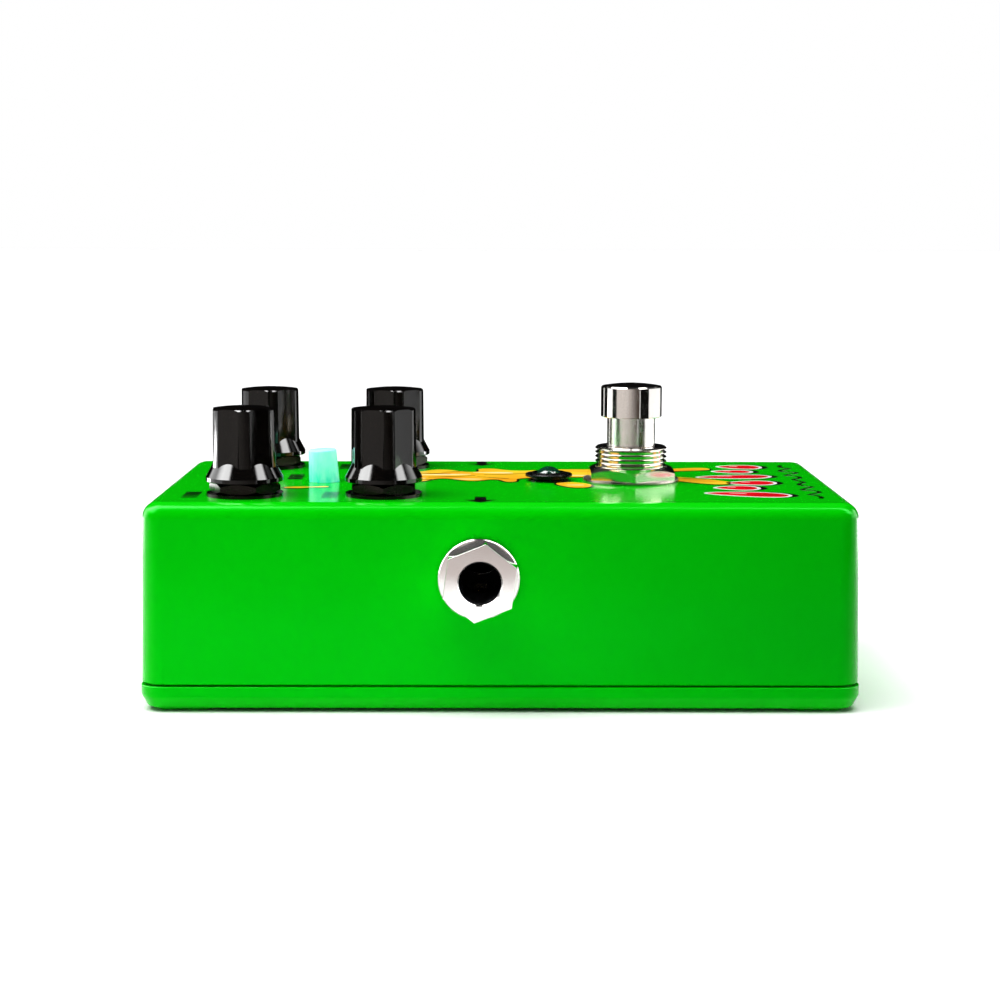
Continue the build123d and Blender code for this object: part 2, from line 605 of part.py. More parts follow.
def strip(points, width, thickness):
    """A bent metal strip from (down, out) points, `width` across."""
    section = trace(Polyline(*points), thickness)
    return extrude(section, width / 2, both=True)


def jack_strip(points, width, thickness, side):
    """A strip in a jack; the points are (out, down) from the jack's axis."""
    flat = strip([(down, out) for out, down in points], width, thickness)
    return on_side(Rot(90, 0, 0) * flat, side)


def jack_tip_spring(side):
    """The leaf that presses on a plug's tip; it flexes about its rolled root."""
    out, down = TIP_PIVOT
    leaf = jack_strip([TIP_PIVOT, (13.0, -4.6), (9.4, -2.3), (8.0, -3.6)], TIP_WIDTH, 0.3, side)
    root = Pos(down, 0, out) * Rot(90, 0, 0) * Cylinder(0.28, TIP_WIDTH)
    return leaf + on_side(root, side)


def jack_contacts(side):
    """The sleeve's spring with its lug, and the lug of the tip circuit."""
    sleeve = jack_strip([(SLEEVE_LUG, LUG_DROP), (SLEEVE_LUG, 4.9), (18.4, 3.8), (15.8, 4.9)], 2.0, 0.4, side)
    tip_lug = jack_strip([(TIP_LUG, LUG_DROP), (TIP_LUG, 4.6)], 2.0, 0.4, side)
    return [sleeve, tip_lug]


# ---------------------------------------------------------------- power socket
POWER_FACE_Y = LENGTH / 2 - 0.35
POWER_BACK_Y = 41.2
POWER_FLOOR_Y = 45.4    # floor of the socket
POWER_BORE_R = 2.85
POWER_PIN_R = 1.03
POWER_SHANK_R = 0.8


def along_y(radius, low, high, z):
    """A cylinder on the middle plane, from y = low to y = high."""
    return Pos(0, low, z) * Rot(-90, 0, 0) * Cylinder(radius, high - low, align=BASE)


def power_jack_body():
    body = block((-4.6, 4.6), (POWER_BACK_Y, 53.2), (POWER_Z - 5.6, POWER_Z + 5.4))
    body = chamfer(body.edges().filter_by(Axis.Y), 0.5)
    body += along_y(4.05, 53.0, POWER_FACE_Y, POWER_Z)
    body -= along_y(POWER_BORE_R, POWER_FLOOR_Y, POWER_FACE_Y + 1, POWER_Z)
    return body - along_y(POWER_SHANK_R + 0.02, POWER_BACK_Y - 1, POWER_FLOOR_Y + 1, POWER_Z)


def power_jack_pin():
    """The centre pin on a thinner shank that runs back through the body to its tag."""
    tag_y = POWER_BACK_Y - 0.6
    pin = along_y(POWER_PIN_R, POWER_FLOOR_Y + 0.5, POWER_FACE_Y - 0.7, POWER_Z)
    pin = fillet(pin.faces().sort_by(Axis.Y)[-1].edges(), 0.5)
    pin += along_y(POWER_SHANK_R, tag_y, POWER_FLOOR_Y + 1, POWER_Z)
    return pin + block((-1.0, 1.0), (tag_y, POWER_BACK_Y), (POWER_Z - 1.0, POWER_Z + 4.4))


# ---------------------------------------------------------------- circuit board
def board_outline():
    """A plate under the controls, with a tongue between the jacks that carries the lamp."""
    plate = block((-27.4, 27.4), (11.8, 52.4), (BOARD_Z, BOARD_TOP))
    plate += block((-3.5, 3.5), (LAMP_Y - 4.0, 13.0), (BOARD_Z, BOARD_TOP))
    for x, y in CORNERS:
        if y > 0:
            sx = 1 if x > 0 else -1
            low, high = sorted((sx * 20.9, sx * 28.0))
            plate -= block((low, high), (45.9, 53.0), (BOARD_Z - 1, BOARD_TOP + 1))
    return plate


def main_board():
    board = board_outline()
    for x, y, _ in POTS.values():
        for dx in POT_PINS:
            board -= rod(0.5, 20, 25, (x + dx, y - POT_HALF_Y - 1.15))
    for x in BUTTON_PIN_XS:
        for y in BUTTON_PIN_YS:
            board -= rod(0.4, 20, 25, (BUTTON_X + x, BUTTON_Y + y))
    for x in LAMP_LEG_XS:
        board -= rod(0.4, 20, 25, (x, LAMP_Y))
    return board


def chip(x, y, length, turn=0.0):
    """A small moulded circuit with gull-wing legs at 1.27 mm."""
    body = block((-length / 2, length / 2), (-1.95, 1.95), (0.15, 1.6))
    count = int((length - 0.6) / 1.27) + 1
    for i in range(count):
        px = (i - (count - 1) / 2) * 1.27
        for sy in (-1, 1):
            low, high = sorted((sy * 1.9, sy * 3.0))
            body += block((px - 0.2, px + 0.2), (low, high), (0.0, 0.2))
    return Pos(x, y, BOARD_TOP) * Rot(0, 0, turn) * body


def board_chips():
    return [chip(-8.6, 15.6, 8.7), chip(8.6, 15.6, 8.7), chip(0.0, 41.0, 5.0), chip(-11.0, 31.0, 5.0, 90)]


def board_capacitors():
    """Electrolytic cans on square feet."""
    cans = []
    for x, y in ((-7.5, 22.6), (8.0, 23.5), (9.0, 33.0), (-9.0, 40.5), (9.0, 41.5), (0.0, 48.5)):
        foot = Pos(x, y, BOARD_TOP) * Box(5.3, 5.3, 0.7, align=BASE)
        can = rod(2.5, BOARD_TOP + 0.7, BOARD_TOP + 5.6, (x, y))
        cans.append(foot + can)
    return cans


def board_resistors():
    """Chip resistors in rows on the underside."""
    parts = []
    for i in range(9):
        for y in (14.6, 43.4, 50.0):
            x = (i - 4) * 3.6
            parts.append(block((x - 1.0, x + 1.0), (y - 0.6, y + 0.6), (BOARD_Z - 0.5, BOARD_Z)))
    return parts


# ---------------------------------------------------------------- battery
BATTERY_X = (-27.0, 19.0)
BATTERY_Y = (13.6, 40.0)
BATTERY_Z = (2.5, 19.6)
STUD_YS = (20.45, 33.15)
STUD_R = 2.8
CROWN_R = 4.2
STUD_RISE = 2.4
BATTERY_MID_Z = sum(BATTERY_Z) / 2
SNAP_HALF_Y = 12.6
SNAP_HALF_Z = 6.3


def battery():
    case = block(BATTERY_X, BATTERY_Y, BATTERY_Z)
    return fillet(case.edges().filter_by(Axis.X), 1.6)


def along_x(radius, low, high, y, z):
    return Pos(low, y, z) * Rot(0, 90, 0) * Cylinder(radius, high - low, align=BASE)


def battery_terminals():
    """The small round stud and the larger crown that it pairs with."""
    low = BATTERY_X[1]
    stud = along_x(STUD_R, low, low + STUD_RISE, STUD_YS[0], BATTERY_MID_Z)
    crown = along_x(CROWN_R, low, low + STUD_RISE, STUD_YS[1], BATTERY_MID_Z)
    return [stud, crown - along_x(STUD_R + 0.1, low + 0.4, low + 3, STUD_YS[1], BATTERY_MID_Z)]


def battery_snap():
    """The moulded clip that covers both studs."""
    low = BATTERY_X[1]
    clip = block((low + 0.1, low + 5.4), (-SNAP_HALF_Y, SNAP_HALF_Y), (-SNAP_HALF_Z, SNAP_HALF_Z))
    clip = Pos(0, sum(STUD_YS) / 2, BATTERY_MID_Z) * clip
    clip = fillet(clip.edges().filter_by(Axis.X), 3.0)
    clip -= along_x(STUD_R + 0.1, low, low + STUD_RISE + 0.1, STUD_YS[0], BATTERY_MID_Z)
    return clip - along_x(CROWN_R + 0.1, low, low + STUD_RISE + 0.1, STUD_YS[1], BATTERY_MID_Z)


def battery_lead(y):
    """A lead from the clip's upper edge, up beside the board's edge to a pad on its underside."""
    start = BATTERY_MID_Z + SNAP_HALF_Z
    x = BATTERY_X[1] + 3.4
    return wire([(x, y, start), (x, y, start + 1.8), (x, y + 3.4, start + 2.7), (x, y + 3.4, BOARD_Z)], 0.8)


# ---------------------------------------------------------------- hook-up wires
def hookup_wires():
    """Leads from the jacks, the footswitch and the power socket to the board."""
    wires = []
    for side in (-1, 1):
        for out in (SLEEVE_LUG, TIP_LUG):
            x = side * out
            low = JACK_Z - LUG_DROP
            wires.append(wire([
                (x, JACK_Y, low), (x, JACK_Y, low - 2.2), (x, JACK_Y + 9.4, low - 2.2),
                (x, JACK_Y + 9.4, BOARD_Z)], 1.6))
    return wires


# ---------------------------------------------------------------- export
def save(name, shape):
    export_step(shape, f"parts/{name}.step")


def main():
    os.makedirs("parts", exist_ok=True)
    save("housing", housing())
    save("base_cover", base_cover())
    save("cover_screws", group(cover_screw(at) for at in CORNERS))
    for name, (x, y, turn) in POTS.items():
        save(f"knob_{name}", Pos(x, y, 0) * knob(turn))
        save(f"pot_shaft_{name}", Pos(x, y, 0) * pot_shaft(turn))
        save(f"pot_body_{name}", Pos(x, y, 0) * pot_body())
    save("pot_nuts", group(Pos(x, y, 0) * pot_nut(name) for name, (x, y, _) in POTS.items()))
    save("pot_washers", group(Pos(x, y, 0) * pot_washer() for x, y, _ in POTS.values()))
    save("pot_terminals", group(
        Pos(x, y, 0) * leg for x, y, _ in POTS.values() for leg in pot_terminals()))
    save("button_cap", button_cap())
    save("button_slider", button_slider())
    save("button_case", button_case())
    save("button_spring", Pos(BUTTON_X, BUTTON_Y, 0) * coil_spring(2.0, 0.15, 24.3, 28.2, 5))
    save("button_lamp", button_lamp())
    save("button_terminals", group(button_terminals()))
    save("led_bezel", led_bezel())
    save("led_lamp", led_lamp())
    save("led_leads", group(led_leads()))
    save("footswitch_plunger", footswitch_plunger())
    save("footswitch_bushing", footswitch_bushing())
    save("footswitch_nuts", group(footswitch_nuts()))
    save("footswitch_washer", footswitch_washer())
    save("footswitch_lock_washer", footswitch_lock_washer())
    save("footswitch_case", footswitch_case())
    save("footswitch_spring", footswitch_spring())
    save("footswitch_rocker", footswitch_rocker())
    save("footswitch_blades", group(footswitch_blades()))
    save("footswitch_terminal_board", footswitch_terminal_board())
    save("footswitch_terminals", group(footswitch_terminals()))
    for name, side in (("output", -1), ("input", 1)):
        save(f"{name}_jack_nut", jack_nut(side))
        save(f"{name}_jack_washer", jack_washer(side))
        save(f"{name}_jack_body", jack_body(side))
        save(f"{name}_jack_tip_spring", jack_tip_spring(side))
        save(f"{name}_jack_contacts", group(jack_contacts(side)))
    save("power_jack_body", power_jack_body())
    save("power_jack_pin", power_jack_pin())
    save("main_board", main_board())
    save("board_chips", group(board_chips()))
    save("board_capacitors", group(board_capacitors()))
    save("board_resistors", group(board_resistors()))
    save("battery", battery())
    save("battery_terminals", group(battery_terminals()))
    save("battery_snap", battery_snap())
    save("battery_lead_red", battery_lead(STUD_YS[0] + 2))
    save("battery_lead_black", battery_lead(STUD_YS[1] - 5))
    save("hookup_wires", group(hookup_wires()))


main()
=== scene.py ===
"""Looks for the guitar effects pedal: its materials, the printed artwork, the light and the camera."""

import math

import bpy
import bmesh
from mathutils import Matrix, Vector


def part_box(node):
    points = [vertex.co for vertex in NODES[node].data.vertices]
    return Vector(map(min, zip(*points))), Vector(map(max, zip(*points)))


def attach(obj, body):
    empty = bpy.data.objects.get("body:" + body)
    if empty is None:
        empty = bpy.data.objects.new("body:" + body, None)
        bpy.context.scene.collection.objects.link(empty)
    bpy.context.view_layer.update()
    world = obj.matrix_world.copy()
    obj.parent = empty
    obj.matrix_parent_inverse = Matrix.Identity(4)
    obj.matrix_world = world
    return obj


MM = 0.001

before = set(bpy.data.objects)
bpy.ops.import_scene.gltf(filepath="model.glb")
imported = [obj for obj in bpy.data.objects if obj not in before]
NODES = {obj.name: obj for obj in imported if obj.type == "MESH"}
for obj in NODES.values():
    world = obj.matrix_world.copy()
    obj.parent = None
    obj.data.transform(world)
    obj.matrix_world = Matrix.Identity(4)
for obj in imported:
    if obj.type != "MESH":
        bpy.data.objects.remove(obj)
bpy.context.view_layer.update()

PANEL_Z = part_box("housing")[1].z


def centre(node):
    low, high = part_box(node)
    return (low + high) / 2


def add_object(name, data):
    made = bpy.data.objects.new(name, data)
    bpy.context.scene.collection.objects.link(made)
    return made


def fill_socket(tree, socket, value):
    """Puts a number or colour in a shader socket, or links a node's output to it."""
    if isinstance(value, bpy.types.NodeSocket):
        tree.links.new(value, socket)
    elif socket.type == "RGBA":
        socket.default_value = (*value, 1.0)
    else:
        socket.default_value = value


def add_node(tree, kind, inputs=None, **settings):
    made = tree.nodes.new(kind)
    for key, value in settings.items():
        setattr(made, key, value)
    for key, value in (inputs or {}).items():
        fill_socket(tree, made.inputs[key], value)
    return made


def dimmer(colour, factor):
    return tuple(part * factor for part in colour)


# ---------------------------------------------------------------- material helpers
class Surface:
    """One material: a Principled shader, and short calls that build its procedural detail."""

    def __init__(self, name, **inputs):
        self.material = bpy.data.materials.new(name)
        self.material.use_nodes = True
        self.tree = self.material.node_tree
        self.shader = self.tree.nodes["Principled BSDF"]
        self.coords = None
        for socket, value in inputs.items():
            self.set(socket, value)

    def set(self, socket, value):
        """Sets one of the shader's own sockets; its name is written with _ for spaces."""
        fill_socket(self.tree, self.shader.inputs[socket.replace("_", " ")], value)

    def node(self, kind, inputs=None, **settings):
        return add_node(self.tree, kind, inputs, **settings)

    def place(self):
        """The point on the object, in metres in the shared frame."""
        if self.coords is None:
            self.coords = self.node("ShaderNodeTexCoord").outputs["Object"]
        return self.coords

    def axis(self, letter):
        return self.node("ShaderNodeSeparateXYZ", {"Vector": self.place()}).outputs[letter]

    def stretched(self, scale):
        return self.node("ShaderNodeMapping", {"Vector": self.place(), "Scale": scale}).outputs["Vector"]

    def noise(self, size, detail=3.0, vector=None):
        """Cloudy noise whose features are about `size` metres across."""
        inputs = {"Vector": vector or self.place(), "Scale": 1.0 / size, "Detail": detail}
        return self.node("ShaderNodeTexNoise", inputs).outputs["Fac"]

    def cells(self, size):
        inputs = {"Vector": self.place(), "Scale": 1.0 / size}
        return self.node("ShaderNodeTexVoronoi", inputs).outputs["Distance"]

    def span(self, value, low, high, to_low=0.0, to_high=1.0):
        inputs = {"Value": value, "From Min": low, "From Max": high, "To Min": to_low, "To Max": to_high}
        return self.node("ShaderNodeMapRange", inputs, clamp=True).outputs["Result"]

    def math(self, operation, a, b):
        return self.node("ShaderNodeMath", {0: a, 1: b}, operation=operation).outputs["Value"]

    def mix(self, factor, low, high):
        inputs = {0: factor, 6: low, 7: high}
        return self.node("ShaderNodeMix", inputs, data_type="RGBA").outputs[2]

    def bump(self, height, depth, strength):
        """Relief of `depth` metres over a height from 0 to 1."""
        inputs = {"Height": height, "Distance": depth, "Strength": strength}
        self.set("Normal", self.node("ShaderNodeBump", inputs).outputs["Normal"])


def metal(name, colour, rough, speckle=0.25):
    """Polished or plated metal with faint clouding and a fine grain."""
    s = Surface(name, Metallic=1.0)
    cloud = s.noise(3 * MM)
    grain = s.noise(0.12 * MM, detail=2.0)
    s.set("Base_Color", s.mix(s.span(grain, 0.35, 0.62), dimmer(colour, 1 - speckle), colour))
    s.set("Roughness", s.span(cloud, 0.3, 0.7, rough * 0.75, rough * 1.35))
    s.bump(grain, 0.004 * MM, 0.35)
    return s


def plastic(name, colour, rough, texture=0.02, **inputs):
    """Moulded plastic: slight tone changes and a fine moulded texture, `texture` millimetres deep."""
    s = Surface(name, **inputs)
    cloud = s.noise(4 * MM)
    fine = s.noise(0.25 * MM, detail=4.0)
    s.set("Base_Color", s.mix(s.span(cloud, 0.3, 0.7), dimmer(colour, 0.82), colour))
    s.set("Roughness", s.span(fine, 0.3, 0.7, rough * 0.8, min(1.0, rough * 1.25)))
    s.bump(fine, texture * MM, 0.4)
    return s


# ---------------------------------------------------------------- materials, one function each
def enamel(name, colour):
    """Glossy enamel over a casting: soft orange peel, dust nibs and slight tone drift."""
    s = Surface(name, Specular_IOR_Level=0.3, Specular_Tint=(0.02, 1.0, 0.12))
    drift = s.noise(18 * MM, detail=2.0)
    peel = s.noise(1.1 * MM, detail=2.0)
    fine = s.noise(0.25 * MM, detail=3.0)
    nibs = s.span(s.cells(2.6 * MM), 0.0, 0.05, 1.0, 0.0)
    tone = s.mix(s.span(drift, 0.25, 0.75), dimmer(colour, 0.93), colour)
    s.set("Base_Color", s.mix(s.math("MULTIPLY", nibs, 0.2), tone, dimmer(colour, 0.6)))
    s.set("Roughness", s.span(fine, 0.3, 0.7, 0.12, 0.2))
    s.bump(peel, 0.006 * MM, 0.45)
    return s


def knob_black():
    """Polished black phenolic with faint upright streaks of wear."""
    s = Surface("knob_black", IOR=1.5, Specular_IOR_Level=0.33)
    wear = s.noise(0.35 * MM, detail=5.0, vector=s.stretched((1.0, 1.0, 0.2)))
    cloud = s.noise(2.5 * MM)
    s.set("Base_Color", s.mix(s.span(cloud, 0.3, 0.7), (0.0003, 0.0002, 0.0002), (0.002, 0.0014, 0.0011)))
    s.set("Roughness", s.span(wear, 0.35, 0.75, 0.05, 0.13))
    s.bump(wear, 0.006 * MM, 0.3)
    return s


def cyan_cap():
    """Cloudy translucent plastic, paler towards the top and deeper towards its foot as painted light and
    shade, with a faint painted glow though the lamp inside it is not lit.
    """
    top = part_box("button_cap")[1].z
    # Painted glow: Emission_Strength here and the emission colour below make the cap glow, though the lamp
    # inside it is unlit.
    s = Surface("cyan_cap", Roughness=0.22, IOR=1.46, Subsurface_Weight=0.35, Transmission_Weight=0.18,
                Subsurface_Radius=(0.2, 1.0, 0.9), Subsurface_Scale=1.5 * MM, Emission_Strength=0.3)
    # Painted light and shade: base colour and glow run from a deeper teal at the foot to paler at the top.
    height = s.span(s.axis("Z"), PANEL_Z, top)
    cloud = s.noise(1.2 * MM, detail=3.0, vector=s.stretched((1.0, 1.0, 0.35)))
    body = s.mix(height, (0.05, 0.72, 0.62), (0.42, 0.97, 0.86))
    s.set("Base_Color", s.mix(s.span(cloud, 0.35, 0.75), body, (0.62, 1.0, 0.93)))
    s.set("Emission_Color", s.mix(height, (0.02, 0.75, 0.64), (0.35, 1.0, 0.95)))
    s.bump(cloud, 0.01 * MM, 0.3)
    return s


def lamp_lens():
    """The unlit lamp: clear resin whose dark green colour is a painted reflection of the green case and the
    dark bezel.
    """
    s = Surface("lamp_lens", Roughness=0.04, IOR=1.5, Transmission_Weight=0.5, Specular_IOR_Level=0.3)
    cloud = s.noise(1.5 * MM)
    # Painted reflection: the dark green base colour stands in for the green case and the dark bezel mirrored
    # in the clear resin.
    s.set("Base_Color", s.mix(s.span(cloud, 0.3, 0.7), (0.001, 0.03, 0.015), (0.004, 0.08, 0.04)))
    s.bump(s.noise(0.6 * MM), 0.002 * MM, 0.3)
    return s


def clear_lens():
    s = Surface("clear_lens", IOR=1.5, Transmission_Weight=0.9)
    cloud = s.noise(1.0 * MM)
    s.set("Base_Color", s.mix(cloud, (0.75, 0.95, 0.97), (0.9, 1.0, 1.0)))
    s.set("Roughness", s.span(cloud, 0.3, 0.7, 0.05, 0.15))
    return s


TRACK_PITCH = 2 * MM
TRACK_BEND = 2.4 * MM       # how far the tracks wander from straight lines
WAVE_PERIOD = 0.32          # of a wave texture at scale 1


def circuit_board():
    """Green solder mask with copper tracks that show as lighter, raised bands."""
    s = Surface("circuit_board", Specular_IOR_Level=0.55)
    bend = s.noise(5 * MM, detail=1.0)
    shift = s.node("ShaderNodeCombineXYZ", {"X": s.math("MULTIPLY", bend, TRACK_BEND)}).outputs[0]
    place = s.node("ShaderNodeVectorMath", {0: s.place(), 1: shift}, operation="ADD").outputs[0]
    wave = s.node("ShaderNodeTexWave", {"Vector": place, "Scale": WAVE_PERIOD / TRACK_PITCH})
    track = s.span(wave.outputs["Fac"], 0.62, 0.72)
    s.set("Base_Color", s.mix(track, (0.008, 0.11, 0.04), (0.02, 0.2, 0.08)))
    s.set("Roughness", s.span(s.noise(0.4 * MM), 0.3, 0.7, 0.25, 0.4))
    s.bump(track, 0.03 * MM, 0.6)
    return s


COPPER_FROM = 0.68          # the share of the battery's length that is dark


def battery_wrap():
    """Dark foil with a coppery end, a thin bright line where the two meet, and fine print-screen grain."""
    low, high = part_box("battery")
    s = Surface("battery_wrap", Metallic=0.35)
    along = s.span(s.axis("X"), low.x, high.x)
    copper = s.node("ShaderNodeMath", {0: along, 1: COPPER_FROM}, operation="GREATER_THAN").outputs[0]
    line = s.node("ShaderNodeMath", {0: along, 1: COPPER_FROM, 2: 0.012}, operation="COMPARE").outputs[0]
    grain = s.noise(0.2 * MM)
    base = s.mix(copper, (0.02, 0.02, 0.024), (0.55, 0.25, 0.09))
    s.set("Base_Color", s.mix(line, base, (0.8, 0.78, 0.7)))
    s.set("Roughness", s.span(grain, 0.3, 0.7, 0.22, 0.36))
    s.bump(s.noise(2.5 * MM), 0.02 * MM, 0.3)
    return s


def brown_board():
    """Pressed paper board, with fibres that run one way."""
    s = Surface("brown_board")
    fibre = s.noise(0.5 * MM, detail=5.0, vector=s.stretched((1.0, 0.25, 1.0)))
    s.set("Base_Color", s.mix(s.span(fibre, 0.3, 0.7), (0.16, 0.06, 0.02), (0.34, 0.15, 0.06)))
    s.set("Roughness", s.span(fibre, 0.3, 0.7, 0.4, 0.6))
    s.bump(fibre, 0.02 * MM, 0.4)
    return s


def two_tone(name, below, above, split_z, metallic_above=0.0):
    """A part made of two materials that meet at a height, such as a chip's legs below its body."""
    s = Surface(name)
    step = s.span(s.axis("Z"), split_z - 0.02 * MM, split_z + 0.02 * MM)
    grain = s.noise(0.3 * MM, detail=4.0)
    tone = s.mix(step, below, above)
    s.set("Base_Color", s.mix(s.math("MULTIPLY", s.span(grain, 0.4, 0.8), 0.2), tone, (0.5, 0.5, 0.5)))
    s.set("Metallic", s.math("MULTIPLY", step, metallic_above))
    s.set("Roughness", s.span(grain, 0.3, 0.7, 0.28, 0.455))
    s.bump(grain, 0.01 * MM, 0.3)
    return s


def ink(name, low, high, size=5 * MM, shine=0.2):
    """Printing ink: a thin glossy film whose tone drifts from one colour to another."""
    s = Surface(name, Specular_IOR_Level=shine)
    drift = s.noise(size, detail=4.0, vector=s.stretched((1.0, 0.45, 1.0)))
    grain = s.noise(0.15 * MM, detail=3.0)
    s.set("Base_Color", s.mix(s.span(drift, 0.35, 0.65), low, high))
    s.set("Roughness", s.span(grain, 0.3, 0.7, 0.128, 0.2))
    s.bump(grain, 0.003 * MM, 0.4)
    return s


PLUNGER_CAP_DEPTH = 5.6 * MM


def plunger_chrome():
    """Bright chrome on the cap, which turns satin on the neck below it."""
    s = metal("bright_chrome", (0.86, 0.83, 0.8), 0.07, speckle=0.12)
    cap_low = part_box("footswitch_plunger")[1].z - PLUNGER_CAP_DEPTH
    polish = s.span(s.axis("Z"), cap_low - 0.2 * MM, cap_low)
    smear = s.span(s.noise(0.8 * MM, vector=s.stretched((1.0, 1.0, 0.3))), 0.3, 0.7, 0.14, 0.26)
    s.set("Roughness", s.math("SUBTRACT", smear, s.math("MULTIPLY", polish, 0.12)))
    return s


def dress_cad():
    """Gives every CAD node its material."""
    green = enamel("green_enamel", (0.0004, 0.47, 0.0006))
    chrome = plunger_chrome()
    nickel = metal("bright_nickel", (0.8, 0.75, 0.69), 0.11, speckle=0.3)
    jack_nickel = metal("jack_nickel", (0.86, 0.84, 0.82), 0.09, speckle=0.12)
    # Painted shade: the washers get a darkened, warmer copy of the nickel, standing in for the dim room they
    # reflect.
    washer_metal_painted_dark = metal("washer_metal_painted_dark", (0.3, 0.26, 0.23), 0.3, speckle=0.4)
    steel = metal("zinc_steel", (0.6, 0.6, 0.62), 0.28)
    black_steel = metal("black_oxide", (0.022, 0.019, 0.017), 0.24, speckle=0.5)
    tin = metal("tin", (0.72, 0.72, 0.7), 0.3)
    brass = metal("silvered_brass", (0.78, 0.66, 0.42), 0.26)
    black_moulding = plastic("black_moulding", (0.022, 0.022, 0.024), 0.42)
    green_moulding = plastic("green_moulding", (0.02, 0.09, 0.06), 0.45)
    nylon = plastic("nylon", (0.72, 0.7, 0.62), 0.4, Subsurface_Weight=0.1, Subsurface_Scale=0.5 * MM)
    bezel = plastic("bezel_black", (0.0008, 0.0007, 0.0007), 0.25, Specular_IOR_Level=0.12)
    vinyl = plastic("vinyl", (0.02, 0.02, 0.02), 0.55, texture=0.05)
    board_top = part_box("main_board")[1].z
    groups = {
        green: ["housing", "base_cover"],
        knob_black(): [n for n in NODES if n.startswith("knob_")],
        chrome: ["footswitch_plunger"],
        nickel: ["footswitch_bushing", "footswitch_nuts"],
        washer_metal_painted_dark: ["footswitch_washer", "footswitch_lock_washer"],
        jack_nickel: ["output_jack_nut", "input_jack_nut", "output_jack_washer", "input_jack_washer"],
        steel: ["cover_screws", "footswitch_spring", "button_spring"],
        black_steel: ["pot_nuts", "pot_washers"],
        tin: ["pot_terminals", "button_terminals", "led_leads", "power_jack_pin", "battery_terminals"],
        brass: ["footswitch_blades", "footswitch_terminals", "output_jack_tip_spring",
                "input_jack_tip_spring", "output_jack_contacts", "input_jack_contacts"],
        black_moulding: ["footswitch_case", "button_case", "button_slider", "power_jack_body",
                         "output_jack_body", "input_jack_body"],
        green_moulding: [n for n in NODES if n.startswith("pot_body_")],
        nylon: [n for n in NODES if n.startswith("pot_shaft_")] + ["footswitch_rocker"],
        cyan_cap(): ["button_cap"],
        clear_lens(): ["button_lamp"],
        lamp_lens(): ["led_lamp"],
        bezel: ["led_bezel"],
        brown_board(): ["footswitch_terminal_board"],
        circuit_board(): ["main_board"],
        two_tone("chips", (0.7, 0.7, 0.68), (0.02, 0.02, 0.02), board_top + 0.2 * MM): ["board_chips"],
        two_tone("capacitors", (0.02, 0.02, 0.02), (0.75, 0.75, 0.76), board_top + 0.7 * MM,
                 metallic_above=0.9): ["board_capacitors"],
        plastic("chip_resistors", (0.03, 0.03, 0.034), 0.35): ["board_resistors"],
        battery_wrap(): ["battery"],
        vinyl: ["battery_snap", "battery_lead_black"],
        plastic("red_wire", (0.5, 0.02, 0.02), 0.45): ["battery_lead_red"],
        plastic("white_wire", (0.7, 0.7, 0.66), 0.45): ["hookup_wires"],
    }
    for surface, names in groups.items():
        for name in names:
            mesh = NODES[name].data
            mesh.materials.clear()
            mesh.materials.append(surface.material)


# ---------------------------------------------------------------- printed artwork
INK_STEP = 0.012 * MM       # each layer of ink stands this much above the one under it


def add_loop(curve, points, smooth):
    spline = curve.splines.new("BEZIER")
    spline.bezier_points.add(len(points) - 1)
    for point, (x, y) in zip(spline.bezier_points, points):
        point.co = (x * MM, y * MM, 0)
        kind = "AUTO" if smooth else "VECTOR"
        point.handle_left_type = kind
        point.handle_right_type = kind
    spline.use_cyclic_u = True


def curve_to_mesh(name, curve):
    holder = add_object(name + "_curve", curve)
    bpy.context.view_layer.update()
    mesh = bpy.data.meshes.new_from_object(holder.evaluated_get(bpy.context.evaluated_depsgraph_get()))
    bpy.data.objects.remove(holder)
    mesh.name = name
    return mesh


def add_print(name, mesh, surface):
    mesh.materials.clear()
    mesh.materials.append(surface.material)
    piece = add_object(name, mesh)
    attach(piece, "case")


def print_layer(name, loops, surface, layer, grow=0.0, smooth=True, shift=(0.0, 0.0)):
    """Closed outlines filled with ink on the panel. `layer` counts up from the paint."""
    curve = bpy.data.curves.new(name, "CURVE")
    curve.dimensions = "2D"
    curve.fill_mode = "BOTH"
    curve.resolution_u = 16
    for points in loops:
        add_loop(curve, points, smooth)
    curve.offset = grow * MM
    curve.extrude = INK_STEP / 2
    mesh = curve_to_mesh(name, curve)
    mesh.transform(Matrix.Translation((shift[0] * MM, shift[1] * MM, PANEL_Z + INK_STEP * (layer - 0.5))))
    add_print(name, mesh, surface)


# Outlines in millimetres on the panel: an abstract streamer under the lamp and the footswitch, and two drops.
STREAMER = [
    (1.5, 24.0), (4.6, 19.5), (-1.8, 14.0), (2.2, 10.0), (-0.8, 4.6), (1.0, 0.8), (-2.2, -1.8), (2.4, -3.4),
    (4.0, -8.5), (4.6, -14.0), (3.6, -21.0), (0.4, -28.0), (-4.2, -38.5), (1.0, -36.0), (5.4, -29.5),
    (9.0, -25.0), (13.0, -30.0), (17.0, -37.0), (16.4, -28.0), (15.8, -18.0), (15.6, -10.0), (13.8, -3.0),
    (16.6, 3.0), (11.8, 4.4), (15.2, 10.5), (11.6, 15.0), (13.4, 19.0), (8.6, 23.0),
]
DROPS = [
    [(-3.0, -10.0), (-8.0, -10.6), (-9.8, -13.2), (-7.6, -15.0), (-3.6, -13.6)],
    [(-10.2, 35.4), (-10.9, 33.6), (-10.2, 31.2), (-9.0, 28.2), (-9.2, 31.6), (-9.4, 34.4)],
]
